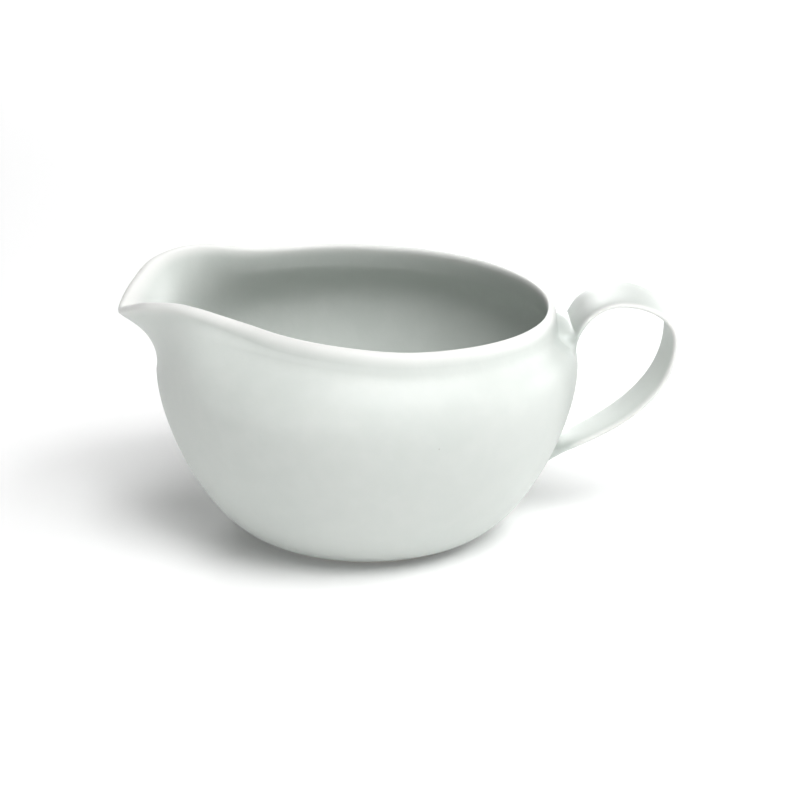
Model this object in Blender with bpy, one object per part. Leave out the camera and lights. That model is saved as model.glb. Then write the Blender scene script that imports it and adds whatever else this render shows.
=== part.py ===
"""Gravy boat: a slip-cast bowl with a drawn pouring lip, and a strap handle luted on at two roots.

Metres, +Z up. The pouring lip points to -X and the handle to +X. The origin is at the
centre of the footprint, on the table.
"""

import math

import bmesh
import bpy
from mathutils import Vector

for old in list(bpy.data.objects):
    bpy.data.objects.remove(old, do_unlink=True)

# ---- Driving dimensions. Radii and reaches are measured from the bowl's own upright axis.

LIP_REACH = 0.0750  # bowl axis to the tip of the pouring lip
HANDLE_REACH = 0.0940  # bowl axis to the outermost point of the handle
WALL = 0.0028  # thickness of the bowl's wall at the belly and the rim
NECK_WALL = 0.0020  # thickness between the two, at the neck
FLOOR = 0.0034  # thickness of the wall where it leaves the foot

FOOT_RADIUS = 0.0342
FOOT_WIDTH = 0.0050  # radial width of the ring that the bowl stands on
FOOT_EDGE = 0.0006  # rounding of the foot ring's corners
RECESS_DEPTH = 0.0012  # how far the underside is hollowed within the ring

BELLY_RADIUS = 0.0640
BELLY_HEIGHT = 0.0514
SWELL_OUT = Vector((0.0153, 0.0032))  # how the underside leaves the foot, before it turns up
SWELL_UP = 0.0156  # how far below the belly its side is already upright

# Under the pouring lip the wall is a throat, which sweeps from the belly straight into the lip.
THROAT_RISE = 0.0108  # how far the side stays upright above the belly
THROAT_SWEEP = 0.0063  # how far below the lip the wall takes the lip's own lean
THROAT_PINCH = 0.0019  # how far the wall draws in under the tip of the lip

# Everywhere else it is a shoulder, a shallow groove for a neck, and a rounded rim.
SHOULDER_RISE = 0.0095  # how far the side stays upright above the belly
NECK_PULL = 0.0040  # how far below the neck the wall has the neck's lean
NECK_LEAN = math.radians(-15)  # outward lean of the wall at the neck, which still draws in
NECK_DROP = 0.0063  # how far the neck is below the rim's crest
NECK_INSET = 0.0020  # how much further out the neck is than the crest
NECK_FROM = 14  # degrees from the lip's tip at which the throat starts to turn into shoulder and neck
NECK_FULL = 62  # and at which the wall is all shoulder and neck
LIP_FALL = 0.0026  # how much further the rim's rounding runs down its outside than its inside
CREST_INSET = 0.0005  # how far the rim's highest line lies inside the middle of the wall

# The crest of the rim all round: degrees from the pouring lip's tip, distance from the axis,
# height, outward lean of the wall in degrees, and the share of the throat's pinch.
RIM = (
    (0, LIP_REACH - 0.0003, 0.0707, 53, 1.0),
    (10, 0.0727, 0.0745, 45, 0.85),
    (20, 0.0694, 0.0788, 35, 0.65),
    (30, 0.0626, 0.0804, 21, 0.45),
    (45, 0.0543, 0.0776, 9, 0.15),
    (60, 0.0524, 0.0756, 1, 0.0),
    (80, 0.0534, 0.0742, -2, 0.0),
    (105, 0.0552, 0.0725, -3, 0.0),
    (180, 0.0558, 0.0705, -3, 0.0),
)

# The strap's middle line, in the plane Y = 0: distance from the axis, and height.
UPPER_ROOT = Vector((0.0618, 0.0604))
UPPER_ROOT_SLOPE = math.radians(74)
STRAP_APEX = Vector((0.0759, 0.0724))
STRAP_OUTERMOST = Vector((HANDLE_REACH - 0.0012, 0.0602))
LOWER_ROOT = Vector((0.0552, 0.0226))
LOWER_ROOT_SLOPE = math.radians(22)
STRAP_PULLS = (0.0072, 0.0069, 0.0082, 0.0076, 0.0197, 0.0199)  # how far each end holds its direction

STRAP_THICKNESS = 0.0024
STRAP_WIDTH_UPPER = 0.0252
STRAP_WIDTH_LOWER = 0.0125
STRAP_TAPER = 1.6  # 1 narrows the strap evenly, and a higher value mostly near the lower root
STRAP_EDGE_POWER = 3.2  # 2 gives an oval section, and a higher value a squarer one

# The slip joints. Each spreads from the strap's end to a pad on the wall.
UPPER_ROOT_DEPTH = 0.0034  # how far along the strap's middle line the joint meets the strap
LOWER_ROOT_DEPTH = 0.0060
UPPER_PAD = (0.0597, 0.0056, 0.0155)  # height of the pad's middle, half height, half width
LOWER_PAD = (0.0222, 0.0046, 0.0078)
# How far the joint runs on in the strap's direction before it turns: on the strap's underside, on its top.
UPPER_ROOT_PULL = (0.0036, 0.0006)
LOWER_ROOT_PULL = (0.0020, 0.0026)
PAD_PULL = (0.1, 0.4)  # shares of the pad's height and width over which the joint rises from the wall
GAP = 0.0003  # clearance between one piece and the next

# ---- Fineness of the surfaces.

BOWL_SIDES = 72
SWELL_STEPS = 9
SHOULDER_STEPS = 6
NECK_STEPS = 4
LIP_STEPS = 6
STRAP_STEPS = 36
STRAP_SIDES = 16
ROOT_STEPS = 4
PAD_RINGS = (0.35, 0.7)  # rings across the face of a pad, as shares of its size
LINE_STEPS = 60  # points on each curve of the strap's middle line
SHARP_ANGLE = math.radians(50)  # a meeting of faces steeper than this is shaded as an edge

BOWL_X = (LIP_REACH - HANDLE_REACH) / 2
BELLY = Vector((BELLY_RADIUS, BELLY_HEIGHT))
UPRIGHT = Vector((0, 1))


def fade(share):
    """A share from 0 to 1, eased at both ends."""
    share = max(0.0, min(1.0, share))
    return share * share * (3 - 2 * share)


def bezier(a, b, c, d, t):
    """A point of the curve from a to d that leaves a towards b and reaches d from c."""
    s = 1 - t
    return a * s**3 + b * (3 * s * s * t) + c * (3 * s * t * t) + d * t**3


def eased(rows, column, x):
    """The value of one column at x, on a smooth curve through the rows that is level at both ends."""
    xs = [row[0] for row in rows]
    ys = [row[column] for row in rows]
    slopes = [0.0] * len(rows)
    for i in range(1, len(rows) - 1):
        slopes[i] = (ys[i + 1] - ys[i - 1]) / (xs[i + 1] - xs[i - 1])
    i = max(k for k in range(len(rows) - 1) if x >= xs[k] or k == 0)
    step = xs[i + 1] - xs[i]
    t = (x - xs[i]) / step
    rise = t * t * (3 - 2 * t)
    start = t * (1 - t) ** 2 * step * slopes[i]
    end = t * t * (t - 1) * step * slopes[i + 1]
    return ys[i] * (1 - rise) + ys[i + 1] * rise + start + end


def outward(along):
    """The outward normal of a meridian that climbs in the direction along."""
    return Vector((along.y, -along.x)).normalized()


def rim_at(angle):
    """The wall's middle line where the rounded lip begins, and the direction the wall has there."""
    lean = math.radians(eased(RIM, 3, angle))
    along = Vector((math.sin(lean), math.cos(lean)))
    crest = Vector((eased(RIM, 1, angle), eased(RIM, 2, angle)))
    return crest - along * (WALL / 2), along


def necking(angle):
    """How much of the wall is shoulder and neck: nothing at the lip's tip, all of it round the sides."""
    return fade((angle - NECK_FROM) / (NECK_FULL - NECK_FROM))


def outer_meridian(angle):
    """The outside of the wall as (radius, height) points, foot to lip, at this angle from the tip."""
    necked = necking(angle)
    middle, along = rim_at(angle)
    crest = middle + along * (WALL / 2)
    top = middle + outward(along) * (WALL / 2) - along * LIP_FALL * necked
    foot = Vector((FOOT_RADIUS, FOOT_EDGE))
    points = []
    for i in range(SWELL_STEPS):
        t = i / SWELL_STEPS
        points.append(bezier(foot, foot + SWELL_OUT, BELLY - UPRIGHT * SWELL_UP, BELLY, t))

    pinched = BELLY + UPRIGHT * THROAT_RISE
    pinched.x -= THROAT_PINCH * eased(RIM, 4, angle)
    neck = crest + Vector((NECK_INSET, -NECK_DROP))
    climb = Vector((math.sin(NECK_LEAN), math.cos(NECK_LEAN)))
    reach = (top.y - neck.y) / 3
    steps = SHOULDER_STEPS + NECK_STEPS
    for i in range(steps + 1):
        swept = bezier(BELLY, pinched, top - along * THROAT_SWEEP, top, i / steps)
        if i < SHOULDER_STEPS:
            t = i / SHOULDER_STEPS
            shouldered = bezier(BELLY, BELLY + UPRIGHT * SHOULDER_RISE, neck - climb * NECK_PULL, neck, t)
        else:
            t = (i - SHOULDER_STEPS) / NECK_STEPS
            shouldered = bezier(neck, neck + climb * reach, top - along * reach, top, t)
        points.append(swept.lerp(shouldered, necked))
    return points


def lip_points(angle):
    """The rounded rim, from the outside of the wall over the crest to the inside."""
    middle, along = rim_at(angle)
    out = outward(along)
    inset = CREST_INSET * necking(angle)
    points = []
    for i in range(1, LIP_STEPS):
        turn = math.pi * i / LIP_STEPS
        outer = turn < math.pi / 2
        width = WALL / 2 + inset if outer else WALL / 2 - inset
        fall = LIP_FALL * necking(angle) if outer else 0.0
        across = width * math.cos(turn) - inset
        points.append(middle + out * across + along * ((WALL / 2 + fall) * math.sin(turn) - fall))
    return points


def wall_section(angle):
    """The wall's whole section: up the outside, over the rounded lip and down the inside."""
    outside = outer_meridian(angle)
    middle, along = rim_at(angle)
    inside = []
    for i, point in enumerate(outside):
        before = outside[max(i - 1, 0)]
        after = outside[min(i + 1, len(outside) - 1)]
        thickness = WALL + (FLOOR - WALL) * max(0.0, 1 - i / SWELL_STEPS)
        thickness -= (WALL - NECK_WALL) * necking(angle) * fade((i - SWELL_STEPS) / SHOULDER_STEPS)
        inside.append(point - outward(after - before) * thickness)
    shift = middle - outward(along) * (WALL / 2) - inside[-1]
    for i in range(1, NECK_STEPS + 1):
        inside[-i] += shift * fade((NECK_STEPS + 1 - i) / NECK_STEPS)
    return outside + lip_points(angle) + inside[::-1]


def ring_of(points_at):
    """One closed ring round the bowl's axis, from a function of the angle from the tip."""
    ring = []
    for i in range(BOWL_SIDES):
        turn = 2 * math.pi * i / BOWL_SIDES
        angle = math.degrees(math.acos(max(-1.0, min(1.0, -math.cos(turn)))))
        radius, height = points_at(angle)
        ring.append((radius * math.cos(turn), radius * math.sin(turn), height))
    return ring


def skinned(name, rings):
    """A closed body whose surface runs through the rings in turn. A ring of one point closes an end."""
    bm = bmesh.new()
    made = [[bm.verts.new(point) for point in ring] for ring in rings]
    for lower, upper in zip(made, made[1:]):
        count = max(len(lower), len(upper))
        for i in range(count):
            j = (i + 1) % count
            if len(lower) == 1:
                bm.faces.new((lower[0], upper[i], upper[j]))
            elif len(upper) == 1:
                bm.faces.new((lower[i], lower[j], upper[0]))
            else:
                bm.faces.new((lower[i], lower[j], upper[j], upper[i]))
    for ring in (made[0], made[-1]):
        if len(ring) > 1:
            bm.faces.new(ring)
    bmesh.ops.recalc_face_normals(bm, faces=bm.faces)
    mesh = bpy.data.meshes.new(name)
    bm.to_mesh(mesh)
    bm.free()
    mesh.shade_smooth()
    mesh.set_sharp_from_angle(angle=SHARP_ANGLE)
    piece = bpy.data.objects.new(name, mesh)
    bpy.context.scene.collection.objects.link(piece)
    return piece


def coloured(piece, colour, roughness):
    material = bpy.data.materials.new(piece.name)
    material.use_nodes = True
    surface = material.node_tree.nodes["Principled BSDF"]
    surface.inputs["Base Color"].default_value = (*colour, 1)
    surface.inputs["Roughness"].default_value = roughness
    surface.inputs["Metallic"].default_value = 0
    piece.data.materials.append(material)


def bowl_rings():
    """The bowl from the middle of its underside, over the foot and the wall, to the middle of its floor."""
    inner_foot = FOOT_RADIUS - FOOT_WIDTH
    foot = (
        (inner_foot - FOOT_EDGE, RECESS_DEPTH),
        (inner_foot, FOOT_EDGE),
        (inner_foot + FOOT_EDGE, 0),
        (FOOT_RADIUS - FOOT_EDGE, 0),
    )
    sections = {}

    def wall_point(index):
        def at(angle):
            key = round(angle, 6)
            if key not in sections:
                sections[key] = wall_section(angle)
            return sections[key][index]

        return at

    steps = len(wall_section(0))
    rings = [[(0, 0, RECESS_DEPTH)]]
    rings += [ring_of(lambda angle, at=at: at) for at in foot]
    rings += [ring_of(wall_point(index)) for index in range(steps)]
    rings.append([(0, 0, wall_section(0)[-1].y)])
    return rings


def wall_radius(height):
    """The outside radius of the bowl at this height, on the handle's side."""
    points = outer_meridian(180)
    for below, above in zip(points, points[1:]):
        if below.y <= height <= above.y:
            share = (height - below.y) / (above.y - below.y)
            return below.x + (above.x - below.x) * share
    return points[-1].x


def wall_x(y, height):
    """How far out along the handle's plane a joint can lie against the wall."""
    return math.sqrt(wall_radius(height) ** 2 - y * y) + GAP


def direction(slope):
    return Vector((math.cos(slope), math.sin(slope)))


def strap_line():
    """The strap's middle line from the upper root to the lower one, as (distance, height) points."""
    leave = direction(UPPER_ROOT_SLOPE)
    arrive = direction(LOWER_ROOT_SLOPE)
    over = Vector((1, 0))
    pull = STRAP_PULLS
    curves = (
        (UPPER_ROOT, UPPER_ROOT + leave * pull[0], STRAP_APEX - over * pull[1], STRAP_APEX),
        (STRAP_APEX, STRAP_APEX + over * pull[2], STRAP_OUTERMOST + UPRIGHT * pull[3], STRAP_OUTERMOST),
        (STRAP_OUTERMOST, STRAP_OUTERMOST - UPRIGHT * pull[4], LOWER_ROOT + arrive * pull[5], LOWER_ROOT),
    )
    points = [bezier(*curve, i / LINE_STEPS) for curve in curves for i in range(LINE_STEPS)]
    points.append(LOWER_ROOT)
    return points


def along_line(points, distance):
    """The point at this distance along the points, and the direction there."""
    gone = 0.0
    for before, after in zip(points, points[1:]):
        length = (after - before).length
        if gone + length >= distance or after == points[-1]:
            heading = (after - before) / length
            return before + heading * (distance - gone), heading
        gone += length


def rounded_oblong(half_width, half_height):
    """Points round an oblong with soft corners, as (width, height) from its middle."""
    power = 2 / STRAP_EDGE_POWER
    points = []
    for i in range(STRAP_SIDES):
        turn = 2 * math.pi * i / STRAP_SIDES
        width = math.copysign(abs(math.cos(turn)) ** power, math.cos(turn)) * half_width
        height = math.copysign(abs(math.sin(turn)) ** power, math.sin(turn)) * half_height
        points.append((width, height))
    return points


def strap_section(points, length, distance):
    """The rounded section square to the strap, at this distance along its middle line."""
    middle, heading = along_line(points, distance)
    share = (distance / length) ** STRAP_TAPER
    width = STRAP_WIDTH_UPPER + (STRAP_WIDTH_LOWER - STRAP_WIDTH_UPPER) * share
    section = []
    for across, rise in rounded_oblong(width / 2, STRAP_THICKNESS / 2):
        place = middle + Vector((-heading.y, heading.x)) * rise
        section.append(Vector((place.x, across, place.y)))
    return section


def strap_rings(points, length):
    start = UPPER_ROOT_DEPTH + GAP
    run = length - LOWER_ROOT_DEPTH - GAP - start
    return [strap_section(points, length, start + run * i / STRAP_STEPS) for i in range(STRAP_STEPS + 1)]


def on_wall(pad, high, wide, side):
    """A pad's outline on the wall, scaled about its middle. Side is 1 if its top is the strap's, or -1."""
    middle, half_height, half_width = pad
    outline = []
    for y, rise in rounded_oblong(half_width * wide, half_height * high):
        z = middle + rise * side
        outline.append(Vector((wall_x(y, z), y, z)))
    return outline


def root_rings(points, length, pad, distance, inward, pull):
    """A slip joint, from its pad on the wall to the strap's section at this distance.

    Inward is 1 if the strap's middle line runs towards the wall there, or -1 if away from it.
    """
    meet = strap_section(points, length, distance)
    _, heading = along_line(points, distance)
    runs = []
    for _, topward in rounded_oblong(1, 1):
        reach = pull[0] + (pull[1] - pull[0]) * (topward + 1) / 2
        runs.append(Vector((heading.x, 0, heading.y)) * inward * reach)
    outline = on_wall(pad, 1, 1, -inward)
    back = on_wall(pad, 1 - PAD_PULL[0], 1 - PAD_PULL[1], -inward)
    rings = [on_wall(pad, 0, 0, -inward)[:1]]
    rings += [on_wall(pad, scale, scale, -inward) for scale in PAD_RINGS]
    for i in range(ROOT_STEPS + 1):
        share = i / ROOT_STEPS
        ring = [bezier(a, b, d + run, d, share) for a, b, d, run in zip(outline, back, meet, runs)]
        for point in ring:
            point.x = max(point.x, wall_x(point.y, point.z))
        rings.append(ring)
    return rings


line = strap_line()
line_length = sum((b - a).length for a, b in zip(line, line[1:]))

bowl = skinned("bowl", bowl_rings())
handle = skinned("handle", strap_rings(line, line_length))
upper_end = UPPER_ROOT_DEPTH
lower_end = line_length - LOWER_ROOT_DEPTH
upper_rings = root_rings(line, line_length, UPPER_PAD, upper_end, -1, UPPER_ROOT_PULL)
lower_rings = root_rings(line, line_length, LOWER_PAD, lower_end, 1, LOWER_ROOT_PULL)
upper_joint = skinned("upper_handle_joint", upper_rings)
lower_joint = skinned("lower_handle_joint", lower_rings)

bowl.location.x = BOWL_X
for piece in (handle, upper_joint, lower_joint):
    piece.parent = bowl

PORCELAIN = (0.82, 0.84, 0.83)
SATIN = 0.4
for piece in (bowl, handle, upper_joint, lower_joint):
    coloured(piece, PORCELAIN, SATIN)
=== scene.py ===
"""Gravy boat: the fine porcelain surfaces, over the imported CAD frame.

Metres, +Z up. The pouring lip points to -X and the handle to +X, as in the frame.
"""

import math

import bmesh
import bpy
import numpy as np
from mathutils import Matrix, Vector


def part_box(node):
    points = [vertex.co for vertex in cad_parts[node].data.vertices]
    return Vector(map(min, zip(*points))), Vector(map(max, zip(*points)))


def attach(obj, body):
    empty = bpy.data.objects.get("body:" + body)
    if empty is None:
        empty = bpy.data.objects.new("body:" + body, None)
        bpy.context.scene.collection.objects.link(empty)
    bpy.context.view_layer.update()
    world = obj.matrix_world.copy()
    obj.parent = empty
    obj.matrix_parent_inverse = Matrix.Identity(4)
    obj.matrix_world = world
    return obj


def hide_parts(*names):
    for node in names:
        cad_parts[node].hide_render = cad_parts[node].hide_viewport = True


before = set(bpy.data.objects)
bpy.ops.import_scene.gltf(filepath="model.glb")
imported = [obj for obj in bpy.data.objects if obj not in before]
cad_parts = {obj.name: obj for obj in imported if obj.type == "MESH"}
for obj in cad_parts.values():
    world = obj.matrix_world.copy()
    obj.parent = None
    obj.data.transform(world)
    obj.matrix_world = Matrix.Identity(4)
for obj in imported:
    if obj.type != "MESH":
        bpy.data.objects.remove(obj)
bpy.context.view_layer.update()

bowl_low, bowl_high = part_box("bowl")
handle_low, handle_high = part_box("handle")

# ---- Sizes, from the frame. Radii and reaches are measured from the bowl's own upright axis.

BELLY_RADIUS = (bowl_high[1] - bowl_low[1]) / 2
AXIS_X = bowl_high[0] - BELLY_RADIUS
LIP_REACH = AXIS_X - bowl_low[0]  # to the tip of the pouring lip
HANDLE_REACH = handle_high[0] - AXIS_X  # to the outermost point of the handle

# ---- Sizes that the frame's boxes don't give, the same as in the CAD.

WALL = 0.0028  # thickness of the bowl's wall at the belly and the rim
NECK_WALL = 0.0020  # thickness between the two, at the neck
FLOOR = 0.0034  # thickness of the wall where it leaves the foot

FOOT_RADIUS = 0.0342
FOOT_WIDTH = 0.0050  # radial width of the ring that the bowl stands on
FOOT_EDGE = 0.0006  # rounding of the foot ring's corners
RECESS_DEPTH = 0.0012  # how far the underside is hollowed within the ring

BELLY_HEIGHT = 0.0514
SWELL_OUT = (0.0153, 0.0032)  # how the underside leaves the foot, before it turns up
SWELL_UP = 0.0156  # how far below the belly its side is already upright

# Under the pouring lip the wall is a throat, which sweeps from the belly straight into the lip.
THROAT_RISE = 0.0108  # how far the side stays upright above the belly
THROAT_SWEEP = 0.0063  # how far below the lip the wall takes the lip's own lean
THROAT_PINCH = 0.0019  # how far the wall draws in under the tip of the lip

# Everywhere else it is a shoulder, a shallow groove for a neck, and a rounded rim.
SHOULDER_RISE = 0.0095  # how far the side stays upright above the belly
NECK_PULL = 0.0040  # how far below the neck the wall has the neck's lean
NECK_LEAN = math.radians(-15)  # outward lean of the wall at the neck, which still draws in
NECK_DROP = 0.0063  # how far the neck is below the rim's crest
NECK_INSET = 0.0020  # how much further out the neck is than the crest
NECK_FROM = 14  # degrees from the lip's tip at which the throat starts to turn into shoulder and neck
NECK_FULL = 62  # and at which the wall is all shoulder and neck
LIP_FALL = 0.0026  # how much further the rim's rounding runs down its outside than its inside
CREST_INSET = 0.0005  # how far the rim's highest line lies inside the middle of the wall
TIP_ROUNDING = 0.0003  # how far the crest lies inside the outermost point of the lip's tip

# The crest of the rim all round: degrees from the pouring lip's tip, distance from the axis,
# height, outward lean of the wall in degrees, and the share of the throat's pinch.
RIM = (
    (0, LIP_REACH - TIP_ROUNDING, 0.0707, 53, 1.0),
    (10, 0.0727, 0.0745, 45, 0.85),
    (20, 0.0694, 0.0788, 35, 0.65),
    (30, 0.0626, 0.0804, 21, 0.45),
    (45, 0.0543, 0.0776, 9, 0.15),
    (60, 0.0524, 0.0756, 1, 0.0),
    (80, 0.0534, 0.0742, -2, 0.0),
    (105, 0.0552, 0.0725, -3, 0.0),
    (180, 0.0558, 0.0705, -3, 0.0),
)

STRAP_THICKNESS = 0.0024
STRAP_WIDTH_UPPER = 0.0252
STRAP_WIDTH_LOWER = 0.0125
STRAP_TAPER = 1.6  # 1 narrows the strap evenly, and a higher value mostly near the lower root
STRAP_EDGE_POWER = 3.2  # 2 gives an oval section, and a higher value a squarer one

# The strap's middle line, in the plane Y = 0: distance from the axis, and height.
UPPER_ROOT = (0.0618, 0.0604)
UPPER_ROOT_SLOPE = math.radians(74)
STRAP_APEX = (0.0759, 0.0724)
STRAP_OUTERMOST = (HANDLE_REACH - STRAP_THICKNESS / 2, 0.0602)
LOWER_ROOT = (0.0552, 0.0226)
LOWER_ROOT_SLOPE = math.radians(22)
STRAP_PULLS = (0.0072, 0.0069, 0.0082, 0.0076, 0.0197, 0.0199)  # how far each end holds its direction

# The slip joints. Each spreads from the strap's end to a pad on the wall.
UPPER_ROOT_DEPTH = 0.0034  # how far along the strap's middle line the joint meets the strap
LOWER_ROOT_DEPTH = 0.0060
UPPER_PAD = (0.0597, 0.0056, 0.0155)  # height of the pad's middle, half height, half width
LOWER_PAD = (0.0222, 0.0046, 0.0078)
# How far the joint runs on in the strap's direction before it turns: on the strap's underside, on its top.
UPPER_ROOT_PULL = (0.0036, 0.0006)
LOWER_ROOT_PULL = (0.0020, 0.0026)
PAD_PULL = (0.1, 0.4)  # shares of the pad's height and width over which the joint rises from the wall
ROOT_SINK = 0.0002  # how far the pad is let into the wall, where the CAD keeps a gap

# ---- Fineness of the surfaces.

BOWL_SIDES = 288
SWELL_STEPS = 40
SHOULDER_STEPS = 34
NECK_STEPS = 14
LIP_STEPS = 14
EDGE_STEPS = 4
STRAP_STEPS = 200
STRAP_SIDES = 64
ROOT_STEPS = 14
RECESS_RINGS = (0.25, 0.5, 0.75, 0.9)  # rings across the underside's recess, as shares of its radius
FLOOR_RINGS = (0.85, 0.6, 0.35, 0.15)  # rings across the inside's floor, as shares of its radius
PAD_RINGS = (0.3, 0.6, 0.85)  # rings across the face of a pad, as shares of its size
LINE_STEPS = 400  # points on each curve of the strap's middle line
HEADING_STEP = 0.0002  # how far either side of a point of that line its direction is taken from
SHARP_ANGLE = math.radians(60)  # a meeting of faces steeper than this is shaded as an edge


# ---- Curves

UPRIGHT = np.array([0.0, 1.0])


def fade(share):
    """A share from 0 to 1, eased at both ends."""
    share = np.clip(share, 0, 1)
    return share * share * (3 - 2 * share)


def bezier(a, b, c, d, t):
    """Points of the curve from a to d that leaves a towards b and reaches d from c."""
    t = np.asarray(t)[..., None]
    s = 1 - t
    return a * s**3 + b * (3 * s * s * t) + c * (3 * s * t * t) + d * t**3


def eased(rows, column, x):
    """The values of one column at x, on a smooth curve through the rows that is level at both ends."""
    xs = np.array([row[0] for row in rows], float)
    ys = np.array([row[column] for row in rows], float)
    slopes = np.zeros(len(rows))
    slopes[1:-1] = (ys[2:] - ys[:-2]) / (xs[2:] - xs[:-2])
    i = np.clip(np.searchsorted(xs, x, "right") - 1, 0, len(rows) - 2)
    step = xs[i + 1] - xs[i]
    t = (x - xs[i]) / step
    rise = t * t * (3 - 2 * t)
    bend = t * (1 - t) ** 2 * step * slopes[i] + t * t * (t - 1) * step * slopes[i + 1]
    return ys[i] * (1 - rise) + ys[i + 1] * rise + bend


def outward(along):
    """The unit vectors a quarter turn clockwise from these directions, outward for a wall that climbs."""
    turned = np.stack([along[..., 1], -along[..., 0]], -1)
    return turned / np.linalg.norm(turned, axis=-1, keepdims=True)


# ---- The bowl's wall

def necking(angles):
    """How much of the wall is shoulder and neck: nothing at the lip's tip, all of it round the sides."""
    return fade((angles - NECK_FROM) / (NECK_FULL - NECK_FROM))


def outer_meridians(angles):
    """The outside of the wall, foot to lip, at each angle from the tip, as (radius, height) points.

    Also the middle of the wall just under the rim, and the wall's direction there.
    """
    lean = np.radians(eased(RIM, 3, angles))
    necked = necking(angles)[:, None]
    along = np.stack([np.sin(lean), np.cos(lean)], -1)
    crest = np.stack([eased(RIM, 1, angles), eased(RIM, 2, angles)], -1)
    middle = crest - along * (WALL / 2)
    top = middle + outward(along) * (WALL / 2) - along * LIP_FALL * necked
    foot = np.array([FOOT_RADIUS, FOOT_EDGE])
    belly = np.array([BELLY_RADIUS, BELLY_HEIGHT])
    swell = bezier(foot, foot + SWELL_OUT, belly - UPRIGHT * SWELL_UP, belly,
                   np.arange(SWELL_STEPS) / SWELL_STEPS)
    swell = np.repeat(swell[None], len(angles), 0)

    belly = np.repeat(belly[None], len(angles), 0)[:, None]
    pinch = np.array([THROAT_PINCH, 0]) * eased(RIM, 4, angles)[:, None, None]
    pinched = belly + UPRIGHT * THROAT_RISE - pinch
    swept = bezier(belly, pinched, (top - along * THROAT_SWEEP)[:, None], top[:, None],
                   np.linspace(0, 1, SHOULDER_STEPS + NECK_STEPS + 1)[None])

    neck = (crest + [NECK_INSET, -NECK_DROP])[:, None]
    climb = np.array([math.sin(NECK_LEAN), math.cos(NECK_LEAN)])
    shoulder = bezier(belly, belly + UPRIGHT * SHOULDER_RISE, neck - climb * NECK_PULL, neck,
                      np.arange(SHOULDER_STEPS)[None] / SHOULDER_STEPS)
    reach = (top[:, None] - neck)[..., 1:] / 3
    flare = bezier(neck, neck + climb * reach, top[:, None] - along[:, None] * reach, top[:, None],
                   np.linspace(0, 1, NECK_STEPS + 1)[None])
    shouldered = np.concatenate([shoulder, flare], 1)
    side = swept + (shouldered - swept) * necked[:, None]
    return np.concatenate([swell, side], 1), middle, along


def wall_sections(angles):
    """The wall's whole section at each angle: up the outside, over the rounded lip and down the inside."""
    outside, middle, along = outer_meridians(angles)
    out = outward(along)
    necked = necking(angles)[:, None, None]

    # The lip is half an oval. Where there is a neck, its outer half is wider and runs further down.
    turns = (np.pi * np.arange(1, LIP_STEPS) / LIP_STEPS)[None, :, None]
    inset = CREST_INSET * necked
    width = np.where(turns < np.pi / 2, WALL / 2 + inset, WALL / 2 - inset)
    fall = np.where(turns < np.pi / 2, LIP_FALL * necked, 0)
    lip = middle[:, None] + out[:, None] * (width * np.cos(turns) - inset) + along[:, None] * (
        (WALL / 2 + fall) * np.sin(turns) - fall)

    # The inside runs a wall's thickness from the outside, and at its top it meets the lip.
    heading = np.gradient(outside, axis=1)
    up_swell = np.clip(np.arange(outside.shape[1]) / SWELL_STEPS, 0, 1)
    up_shoulder = np.clip((np.arange(outside.shape[1]) - SWELL_STEPS) / SHOULDER_STEPS, 0, 1)
    thickness = (FLOOR + (WALL - FLOOR) * up_swell)[None, :, None]
    thickness = thickness - (WALL - NECK_WALL) * necked * fade(up_shoulder)[None, :, None]
    inside = outside - outward(heading) * thickness
    up_neck = np.clip((np.arange(outside.shape[1]) + 1 - outside.shape[1]) / NECK_STEPS + 1, 0, 1)
    inner_top = middle - out * (WALL / 2)
    inside += (inner_top[:, None] - inside[:, -1:]) * fade(up_neck)[None, :, None]
    return np.concatenate([outside, lip, inside[:, ::-1]], 1)


def around(sections):
    """Turns (radius, height) sections, one for each side of the bowl, into rings of points."""
    turns = 2 * np.pi * np.arange(BOWL_SIDES) / BOWL_SIDES
    x = AXIS_X + sections[..., 0] * np.cos(turns)[:, None]
    y = sections[..., 0] * np.sin(turns)[:, None]
    return np.stack([x, y, sections[..., 1]], -1).transpose(1, 0, 2)


def bowl_rings():
    """The bowl's rings: across the underside, round the foot, over the wall and across the floor."""
    turns = 2 * np.pi * np.arange(BOWL_SIDES) / BOWL_SIDES
    angles = np.degrees(np.arccos(np.clip(-np.cos(turns), -1, 1)))
    inner_foot = FOOT_RADIUS - FOOT_WIDTH
    corner = np.linspace(0, np.pi / 2, EDGE_STEPS + 1)
    inner_edge = [(FOOT_EDGE * (1 - math.cos(c)), FOOT_EDGE * (1 - math.sin(c))) for c in corner[1:]]
    outer_edge = [(FOOT_EDGE * (1 - math.sin(c)), FOOT_EDGE * (1 - math.cos(c))) for c in corner[:-1]]
    profile = [(inner_foot * share, RECESS_DEPTH) for share in RECESS_RINGS]
    profile += [(inner_foot - FOOT_EDGE, RECESS_DEPTH), (inner_foot, FOOT_EDGE)]
    profile += [(inner_foot + inset, height) for inset, height in inner_edge]
    profile += [(FOOT_RADIUS - inset, height) for inset, height in outer_edge]
    foot = around(np.repeat(np.array(profile)[None], BOWL_SIDES, 0))
    wall = around(wall_sections(angles))
    floor_edge = wall[-1]
    centre = np.array([AXIS_X, 0, floor_edge[0, 2]])
    floor = [centre + (floor_edge - centre) * share for share in FLOOR_RINGS]
    return [np.array([[AXIS_X, 0, RECESS_DEPTH]])] + list(foot) + list(wall) + floor + [centre[None]]


# ---- The handle

REAR_MERIDIAN = outer_meridians(np.array([180.0]))[0][0]  # the wall's outside, where the handle meets it


def wall_x(y, z, sink):
    """How far out the wall's outside is, on the handle's side, less sink."""
    radius = np.interp(z, REAR_MERIDIAN[:, 1], REAR_MERIDIAN[:, 0])
    return AXIS_X + np.sqrt(radius**2 - y * y) - sink


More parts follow.
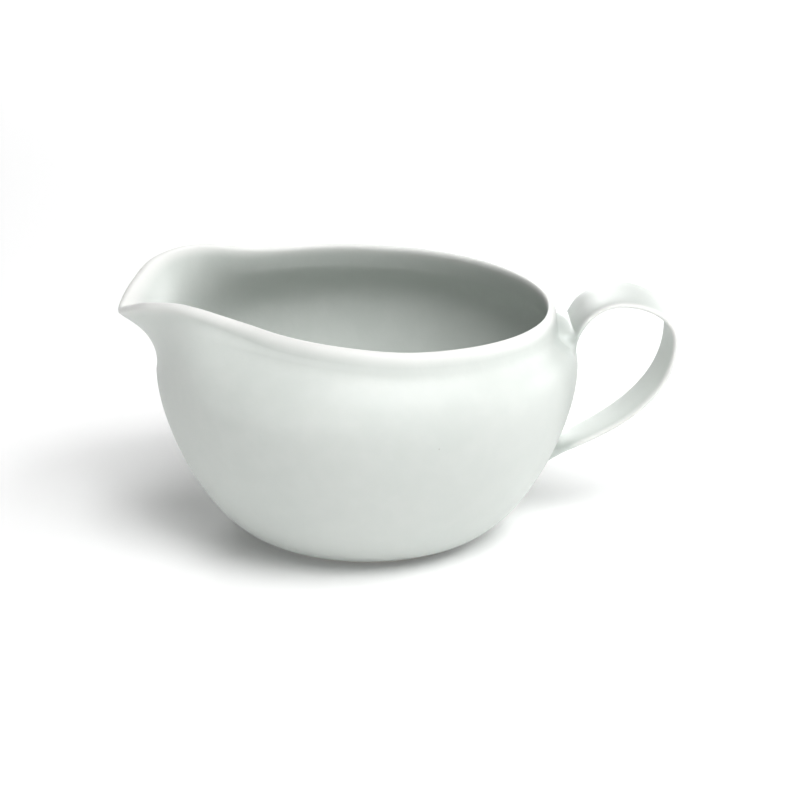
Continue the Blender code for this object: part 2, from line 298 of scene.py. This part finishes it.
def strap_line():
    """Points of the strap's middle line in the plane Y = 0, and how far along it each of them is."""
    corners = np.array([UPPER_ROOT, STRAP_APEX, STRAP_OUTERMOST, LOWER_ROOT])
    upper, apex, outermost, lower = corners + [AXIS_X, 0]
    leave = np.array([math.cos(UPPER_ROOT_SLOPE), math.sin(UPPER_ROOT_SLOPE)])
    arrive = np.array([math.cos(LOWER_ROOT_SLOPE), math.sin(LOWER_ROOT_SLOPE)])
    over = np.array([1.0, 0.0])
    down = np.array([0.0, -1.0])
    pull = STRAP_PULLS
    t = np.linspace(0, 1, LINE_STEPS)
    points = np.concatenate([
        bezier(upper, upper + leave * pull[0], apex - over * pull[1], apex, t)[:-1],
        bezier(apex, apex + over * pull[2], outermost - down * pull[3], outermost, t)[:-1],
        bezier(outermost, outermost + down * pull[4], lower + arrive * pull[5], lower, t),
    ])
    gone = np.concatenate([[0], np.cumsum(np.linalg.norm(np.diff(points, axis=0), axis=1))])
    return points, gone


LINE, LINE_GONE = strap_line()
LINE_LENGTH = LINE_GONE[-1]
STRAP_DISTANCES = np.linspace(UPPER_ROOT_DEPTH, LINE_LENGTH - LOWER_ROOT_DEPTH, STRAP_STEPS + 1)


def along_line(distance):
    """The point of the strap's middle line at this distance along it, and the direction there."""
    ends = np.clip([distance - HEADING_STEP, distance + HEADING_STEP], 0, LINE_LENGTH)
    place = np.array([np.interp(distance, LINE_GONE, LINE[:, k]) for k in (0, 1)])
    before, after = (np.array([np.interp(end, LINE_GONE, LINE[:, k]) for k in (0, 1)]) for end in ends)
    heading = (after - before) / np.linalg.norm(after - before)
    return place, heading


def rounded_oblong(half_width, half_height):
    """Points round an oblong with soft corners, as widths and heights from its middle."""
    turns = 2 * np.pi * np.arange(STRAP_SIDES) / STRAP_SIDES
    power = 2 / STRAP_EDGE_POWER
    widths = np.sign(np.cos(turns)) * np.abs(np.cos(turns)) ** power * half_width
    heights = np.sign(np.sin(turns)) * np.abs(np.sin(turns)) ** power * half_height
    return widths, heights


def strap_section(distance):
    """The strap's rounded section at this distance along its middle line."""
    place, heading = along_line(distance)
    share = (distance / LINE_LENGTH) ** STRAP_TAPER
    width = STRAP_WIDTH_UPPER + (STRAP_WIDTH_LOWER - STRAP_WIDTH_UPPER) * share
    across, rise = rounded_oblong(width / 2, STRAP_THICKNESS / 2)
    return np.stack([place[0] - heading[1] * rise, across, place[1] + heading[0] * rise], -1)


def on_wall(pad, scales, sink, side):
    """A pad's outline on the wall, scaled about its middle in height and width.

    Side is 1 where the strap's top meets the pad's top, and -1 where it meets the pad's bottom.
    """
    middle, half_height, half_width = pad
    across, rise = rounded_oblong(half_width * scales[1], half_height * scales[0])
    height = middle + rise * side
    return np.stack([wall_x(across, height, sink), across, height], -1)


def root_rings(pad, far, inward, pull):
    """A luted root, from its pad on the wall to the strap's section at the distance far.

    Inward is 1 if the strap's middle line runs towards the wall there, and -1 if it runs away.
    """
    meet = strap_section(far)
    heading = along_line(far)[1] * inward
    topward = (rounded_oblong(1, 1)[1][:, None] + 1) / 2
    run = meet + np.array([heading[0], 0, heading[1]]) * (pull[0] + (pull[1] - pull[0]) * topward)
    rings = [on_wall(pad, (0, 0), ROOT_SINK, -inward)[:1]]
    rings += [on_wall(pad, (scale, scale), ROOT_SINK, -inward) for scale in PAD_RINGS]
    outline = on_wall(pad, (1, 1), ROOT_SINK, -inward)
    back = on_wall(pad, 1 - np.array(PAD_PULL), 0, -inward)
    for share in np.linspace(0, 1, ROOT_STEPS + 1):
        ring = bezier(outline, back, run, meet, share)
        ring[:, 0] = np.maximum(ring[:, 0], wall_x(ring[:, 1], ring[:, 2], ROOT_SINK * (1 - share)))
        rings.append(ring)
    return rings


def strap_rings():
    """The strap's sections, from where it meets one slip joint to where it meets the other."""
    return [strap_section(distance) for distance in STRAP_DISTANCES]


# ---- Meshes

def skinned(name, rings):
    """A closed body whose surface runs through the rings in turn. A ring of one point closes an end."""
    bm = bmesh.new()
    made = [[bm.verts.new(point) for point in ring] for ring in rings]
    for lower, upper in zip(made, made[1:]):
        count = max(len(lower), len(upper))
        for i in range(count):
            j = (i + 1) % count
            if len(lower) == 1:
                bm.faces.new((lower[0], upper[i], upper[j]))
            elif len(upper) == 1:
                bm.faces.new((lower[i], lower[j], upper[0]))
            else:
                bm.faces.new((lower[i], lower[j], upper[j], upper[i]))
    for ring in (made[0], made[-1]):
        if len(ring) > 1:
            bm.faces.new(ring)
    bmesh.ops.recalc_face_normals(bm, faces=bm.faces)
    mesh = bpy.data.meshes.new(name)
    bm.to_mesh(mesh)
    bm.free()
    mesh.shade_smooth()
    mesh.set_sharp_from_angle(angle=SHARP_ANGLE)
    piece = bpy.data.objects.new(name, mesh)
    bpy.context.scene.collection.objects.link(piece)
    return piece


bowl = skinned("porcelain_bowl", bowl_rings())
strap = skinned("porcelain_handle", strap_rings())
upper_root = skinned("luted_upper_root", root_rings(UPPER_PAD, STRAP_DISTANCES[0], -1, UPPER_ROOT_PULL))
lower_root = skinned("luted_lower_root", root_rings(LOWER_PAD, STRAP_DISTANCES[-1], 1, LOWER_ROOT_PULL))

# ---- Where the glaze is thin and painted paler as a highlight, thick or missing, painted on the meshes

GLAZE_RUN = 0.0042  # how far below the rim's crest the glaze is still thin, and painted paler as a highlight
POOL_REACH = 0.0060  # how far round a root the glaze is still thick
FLOOR_POOL = 0.8  # how thick it is in the floor's corner, as a share of its thickness round a root
FLOOR_POOL_REACH = 2 * FOOT_WIDTH  # how far from that corner it is still thick
THIN_BAND = 1 / 6  # share of the strap's half width over which the glaze thins, and is painted paler as a highlight, towards its edges


def points_of(piece):
    """The places of a piece's vertices."""
    points = np.empty(3 * len(piece.data.vertices))
    piece.data.vertices.foreach_get("co", points)
    return points.reshape(-1, 3)


def paint(piece, thin_and_highlight, thick, bare):
    """Stores on each vertex how thin the glaze is there, and so how much highlight is painted, how thick,
    and how bare the clay is.
    """
    for name, values in (("thin_glaze_and_highlight", thin_and_highlight), ("thick_glaze", thick), ("bare_clay", bare)):
        values = np.broadcast_to(values, len(piece.data.vertices)).astype(np.float32)
        piece.data.attributes.new(name, "FLOAT", "POINT").data.foreach_set("value", values)


def paint_bowl(roots):
    """Thin glaze and a painted highlight on the rim, thick glaze round the roots and in the floor's corner,
    and a bare foot.
    """
    points = points_of(bowl)
    offset = points - [AXIS_X, 0, 0]
    radius = np.hypot(offset[:, 0], offset[:, 1])
    angle = np.degrees(np.arctan2(np.abs(offset[:, 1]), -offset[:, 0]))
    drop = eased(RIM, 2, angle) - points[:, 2]
    near_root = np.full(len(points), np.inf)
    for root in roots:
        for corner in points_of(root):
            near_root = np.minimum(near_root, np.linalg.norm(points - corner, axis=1))
    near_corner = np.hypot(radius - FOOT_RADIUS, 2 * (points[:, 2] - FLOOR))
    pooled = np.maximum(fade(1 - near_root / POOL_REACH),
                        FLOOR_POOL * fade(1 - near_corner / FLOOR_POOL_REACH))
    standing = fade(1.5 - points[:, 2] / FOOT_EDGE)  # 1 up to half of the foot's rounding, 0 just above it
    paint(bowl, fade(1 - drop / GLAZE_RUN), pooled, standing)


def paint_strap():
    """Thin glaze and a painted highlight on the strap's edges, and thick glaze near its ends."""
    turns = 2 * np.pi * np.arange(STRAP_SIDES) / STRAP_SIDES
    out = np.abs(np.cos(turns)) ** (2 / STRAP_EDGE_POWER)
    from_root = np.minimum(STRAP_DISTANCES - STRAP_DISTANCES[0], STRAP_DISTANCES[-1] - STRAP_DISTANCES)
    pooled = np.repeat(fade(1 - from_root / POOL_REACH), STRAP_SIDES)
    thin_and_highlight = np.tile(fade(1 - (1 - out) / THIN_BAND), STRAP_STEPS + 1)
    paint(strap, thin_and_highlight * (1 - pooled), pooled, 0)


paint_bowl((upper_root, lower_root))
paint_strap()
for root in (upper_root, lower_root):
    paint(root, 0, 1, 0)

# ---- Materials

PORCELAIN = (0.606, 0.633, 0.610)
THIN_GLAZE_AND_HIGHLIGHT = (0.735, 0.738, 0.722)  # the paler, warmer body shows through on edges; this paleness on the rim and edges is also a painted highlight
THICK_GLAZE = (0.568, 0.602, 0.578)
BARE_CLAY = (0.66, 0.63, 0.58)
IRON_SPECK = (0.25, 0.21, 0.17)

CLOUD = 0.030  # metres: the size of the slow changes of tone
MOTTLE = 0.007  # of the finer ones
ORANGE_PEEL = 0.0016  # of the glaze's waves
GRAIN = 0.00025  # of the pinholes, and of the bare clay's grain

SPECK_SPACING = 0.016
SPECK_SHARE = 0.4  # about this share of the cells of that spacing has a speck
SPECK_RADIUS = 0.00030
SPECK_CORE = 0.5  # a speck is full up to this share of its radius
SPECK_BLUR = 1.3  # and gone beyond this one

NOISE_RANGE = (0.3, 0.7)  # between these, a noise's values go from nothing to all
PATCHY_RANGE = (0.35, 0.75)  # the same, for a change that fewer places show

CLOUD_TINT = 0.35  # how much of the thick glaze's colour the clouds take on
MOTTLE_TINT = 0.12  # how much of the thin glaze's colour the mottle takes on
POOL_TINT = 0.8  # how much of the thick glaze's colour it takes on where it is thick
SPECK_TINT = 0.6  # how much of the iron's colour shows in a speck

SATIN = 0.48  # roughness of the fired glaze
MOTTLE_SHEEN = 0.04  # how much rougher and smoother the mottle makes it
PEEL_SHEEN = 0.02  # and the orange peel
POOL_SHEEN = 0.06  # how much smoother it is where it is thick
EDGE_SHEEN = 0.05  # how much rougher where it is thin
CLAY_SHEEN = 0.35  # and where the clay is bare

MOTTLE_RELIEF = 0.00006  # metres from the lowest to the highest
PEEL_RELIEF = 0.00002
GRAIN_RELIEF = 0.00003
GRAIN_UNDER_GLAZE = 0.12  # share of the bare clay's grain that is left in the glaze, as pinholes


class Tree:
    """Adds nodes to a material. A value fed to a node is a number, a colour or another node's output."""

    def __init__(self, material):
        material.use_nodes = True
        self.nodes = material.node_tree.nodes
        self.links = material.node_tree.links
        self.surface = self.nodes["Principled BSDF"]
        self.place = self.nodes.new("ShaderNodeTexCoord").outputs["Object"]

    def feed(self, socket, value):
        """Links another node's output to a socket, or sets the socket to a number or a colour."""
        if isinstance(value, bpy.types.NodeSocket):
            self.links.new(value, socket)
        elif isinstance(value, tuple):
            socket.default_value = (*value, 1)
        else:
            socket.default_value = value

    def painted(self, name):
        """What is painted on the mesh under this name."""
        node = self.nodes.new("ShaderNodeAttribute")
        node.attribute_name = name
        return node.outputs["Fac"]

    def noise(self, size, detail):
        """A noise from 0 to 1 whose waves are about this many metres long."""
        node = self.nodes.new("ShaderNodeTexNoise")
        self.feed(node.inputs["Vector"], self.place)
        self.feed(node.inputs["Scale"], 1 / size)
        self.feed(node.inputs["Detail"], detail)
        return node.outputs["Fac"]

    def remap(self, value, span, to_span):
        """A value eased from one span to another, and held at the ends."""
        node = self.nodes.new("ShaderNodeMapRange")
        node.interpolation_type = "SMOOTHSTEP"
        for socket, number in zip(node.inputs, (value, *span, *to_span)):
            self.feed(socket, number)
        return node.outputs["Result"]

    def maths(self, operation, a, b):
        """The sum, difference, product or comparison of two values."""
        node = self.nodes.new("ShaderNodeMath")
        node.operation = operation
        self.feed(node.inputs[0], a)
        self.feed(node.inputs[1], b)
        return node.outputs["Value"]

    def mix(self, share, a, b):
        """A colour this far from a to b. The sockets go by number, because others share their names."""
        node = self.nodes.new("ShaderNodeMix")
        node.data_type = "RGBA"
        self.feed(node.inputs["Factor"], share)
        self.feed(node.inputs[6], a)
        self.feed(node.inputs[7], b)
        return node.outputs[2]

    def bump(self, height, depth, under=None):
        """A relief of this depth in metres over a height map from 0 to 1."""
        node = self.nodes.new("ShaderNodeBump")
        self.feed(node.inputs["Height"], height)
        self.feed(node.inputs["Distance"], depth)
        if under is not None:
            self.feed(node.inputs["Normal"], under)
        return node.outputs["Normal"]

    def specks(self):
        """1 inside the few iron specks that come up through the glaze."""
        cells = self.nodes.new("ShaderNodeTexVoronoi")
        self.feed(cells.inputs["Vector"], self.place)
        self.feed(cells.inputs["Scale"], 1 / SPECK_SPACING)
        chosen = self.maths("LESS_THAN", cells.outputs["Color"], SPECK_SHARE)
        radius = SPECK_RADIUS / SPECK_SPACING
        spot = self.remap(cells.outputs["Distance"], (radius * SPECK_CORE, radius * SPECK_BLUR), (1.0, 0.0))
        return self.maths("MULTIPLY", spot, chosen)


def satin_glaze(name):
    """White satin porcelain glaze: cloudy tone, a painted highlight where it is thin, uneven sheen, orange
    peel, pinholes and rare specks.
    """
    material = bpy.data.materials.new(name)
    tree = Tree(material)
    thin_and_highlight = tree.painted("thin_glaze_and_highlight")
    thick = tree.painted("thick_glaze")
    bare = tree.painted("bare_clay")
    cloud = tree.noise(CLOUD, detail=3.0)
    mottle = tree.noise(MOTTLE, detail=4.0)
    peel = tree.noise(ORANGE_PEEL, detail=2.0)
    grain = tree.noise(GRAIN, detail=1.0)
    specks = tree.specks()

    colour = tree.mix(tree.remap(cloud, NOISE_RANGE, (0.0, CLOUD_TINT)), PORCELAIN, THICK_GLAZE)
    colour = tree.mix(tree.remap(mottle, PATCHY_RANGE, (0.0, MOTTLE_TINT)), colour, THIN_GLAZE_AND_HIGHLIGHT)
    colour = tree.mix(tree.maths("MULTIPLY", thick, POOL_TINT), colour, THICK_GLAZE)
    # Paler where the glaze is thin: partly the body showing through, partly a painted highlight on the rim
    # and edges.
    colour = tree.mix(thin_and_highlight, colour, THIN_GLAZE_AND_HIGHLIGHT)
    colour = tree.mix(tree.maths("MULTIPLY", specks, SPECK_TINT), colour, IRON_SPECK)
    colour = tree.mix(bare, colour, BARE_CLAY)
    tree.feed(tree.surface.inputs["Base Color"], colour)

    sheen = tree.remap(mottle, NOISE_RANGE, (SATIN - MOTTLE_SHEEN, SATIN + MOTTLE_SHEEN))
    sheen = tree.maths("ADD", sheen, tree.remap(peel, NOISE_RANGE, (-PEEL_SHEEN, PEEL_SHEEN)))
    sheen = tree.maths("SUBTRACT", sheen, tree.maths("MULTIPLY", thick, POOL_SHEEN))
    sheen = tree.maths("ADD", sheen, tree.maths("MULTIPLY", thin_and_highlight, EDGE_SHEEN))
    sheen = tree.maths("ADD", sheen, tree.maths("MULTIPLY", bare, CLAY_SHEEN))
    tree.feed(tree.surface.inputs["Roughness"], sheen)

    relief = tree.bump(mottle, MOTTLE_RELIEF)
    relief = tree.bump(peel, PEEL_RELIEF, relief)
    pitted = tree.maths("MULTIPLY", grain, tree.maths("ADD", bare, GRAIN_UNDER_GLAZE))
    relief = tree.bump(pitted, GRAIN_RELIEF, relief)
    tree.feed(tree.surface.inputs["Normal"], relief)
    return material


bowl_glaze = satin_glaze("bowl_glaze")
handle_glaze = satin_glaze("handle_glaze")
slip_joint_glaze = satin_glaze("slip_joint_glaze")

for piece, material, node, slot in (
    (bowl, bowl_glaze, "bowl", "bowl_porcelain"),
    (strap, handle_glaze, "handle", "handle_porcelain"),
    (upper_root, slip_joint_glaze, "upper_handle_joint", "slip_joint"),
    (lower_root, slip_joint_glaze, "lower_handle_joint", "slip_joint"),
):
    piece.data.materials.append(material)
    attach(piece, "root")
    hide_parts(node)

# ---- The table

TABLE_SIDE = 6.0
TABLE_WHITE = 0.9
TABLE_ROUGHNESS = 0.9
TABLE_GLOW = 0.083  # lifts the white of the table, and the shadows on it, towards pure white

half = TABLE_SIDE / 2
table_mesh = bpy.data.meshes.new("table")
table_mesh.from_pydata([(-half, -half, 0), (half, -half, 0), (half, half, 0), (-half, half, 0)], [],
                       [(0, 1, 2, 3)])
table = bpy.data.objects.new("table", table_mesh)
bpy.context.scene.collection.objects.link(table)

paper = bpy.data.materials.new("white_table")
paper.use_nodes = True
paper_surface = paper.node_tree.nodes["Principled BSDF"].inputs
paper_surface["Base Color"].default_value = (TABLE_WHITE, TABLE_WHITE, TABLE_WHITE, 1)
paper_surface["Roughness"].default_value = TABLE_ROUGHNESS
paper_surface["Emission Color"].default_value = (1, 1, 1, 1)
paper_surface["Emission Strength"].default_value = TABLE_GLOW
table_mesh.materials.append(paper)

# ---- The camera

CAMERA_ELEVATION = math.radians(19.8)
CAMERA_AZIMUTH = math.radians(-2.4)  # from the front, towards the pouring lip
CAMERA_DISTANCE = 0.7756
CAMERA_LENS = 111.9  # millimetres
AIM_RIGHT = 0.0100  # the view's centre, to the right of the foot of the bowl's axis
AIM_UP = 0.0371  # and above it, both as the camera sees them

forward = Vector((
    -math.sin(CAMERA_AZIMUTH) * math.cos(CAMERA_ELEVATION),
    math.cos(CAMERA_AZIMUTH) * math.cos(CAMERA_ELEVATION),
    -math.sin(CAMERA_ELEVATION),
))
right = Vector((math.cos(CAMERA_AZIMUTH), math.sin(CAMERA_AZIMUTH), 0))
up = right.cross(forward)
camera_data = bpy.data.cameras.new("camera")
camera_data.lens = CAMERA_LENS
camera = bpy.data.objects.new("camera", camera_data)
place = Vector((AXIS_X, 0, 0)) + right * AIM_RIGHT + up * AIM_UP - forward * CAMERA_DISTANCE
camera.matrix_world = Matrix.Translation(place) @ Matrix((right, up, -forward)).transposed().to_4x4()
bpy.context.scene.collection.objects.link(camera)
bpy.context.scene.camera = camera

# ---- The lights

SOFTBOX_SIDE = 0.6
SOFTBOX_DISTANCE = 1.5  # from the centre of the object's footprint


def softbox(name, azimuth, elevation, watts):
    """A square light that faces the object, at these degrees round to its right and above the table."""
    data = bpy.data.lights.new(name, "AREA")
    data.size = SOFTBOX_SIDE
    data.energy = watts
    lamp = bpy.data.objects.new(name, data)
    lamp.visible_camera = False
    a = math.radians(azimuth)
    e = math.radians(elevation)
    away = Vector((math.sin(a) * math.cos(e), -math.cos(a) * math.cos(e), math.sin(e)))
    lamp.location = away * SOFTBOX_DISTANCE
    lamp.rotation_euler = away.to_track_quat("Z", "Y").to_euler()
    bpy.context.scene.collection.objects.link(lamp)


softbox("key", 30, 52, 7.5)
softbox("key_right", 60, 52, 5.4)
softbox("fill_front", 0, 52, 2.8)
softbox("top_front", 0, 70, 6.1)
softbox("top", 0, 88, 3.2)
softbox("back_right", 120, 16, 8.7)
softbox("back", 180, 16, 9.2)

# ---- The studio's walls: pale and bright low down, and dark from a little way up

WALL_LIGHT = 4.6
WALL_TOP = 0.15  # the sine of the angle above the horizon from which they are dark

world = bpy.data.worlds.new("studio")
bpy.context.scene.world = world
world.use_nodes = True
world_nodes = world.node_tree.nodes
backdrop = world_nodes["Background"]
backdrop.inputs["Color"].default_value = (1, 1, 1, 1)
facing = world_nodes.new("ShaderNodeTexCoord")
split = world_nodes.new("ShaderNodeSeparateXYZ")
wall_light = world_nodes.new("ShaderNodeMapRange")
wall_light.interpolation_type = "SMOOTHSTEP"
for name, number in (("From Min", 0.0), ("From Max", WALL_TOP), ("To Min", WALL_LIGHT), ("To Max", 0.0)):
    wall_light.inputs[name].default_value = number
world.node_tree.links.new(facing.outputs["Generated"], split.inputs["Vector"])
world.node_tree.links.new(split.outputs["Z"], wall_light.inputs["Value"])
world.node_tree.links.new(wall_light.outputs["Result"], backdrop.inputs["Strength"])

# ---- The picture's tone

bpy.context.scene.view_settings.view_transform = "Standard"
bpy.context.scene.view_settings.gamma = 0.85
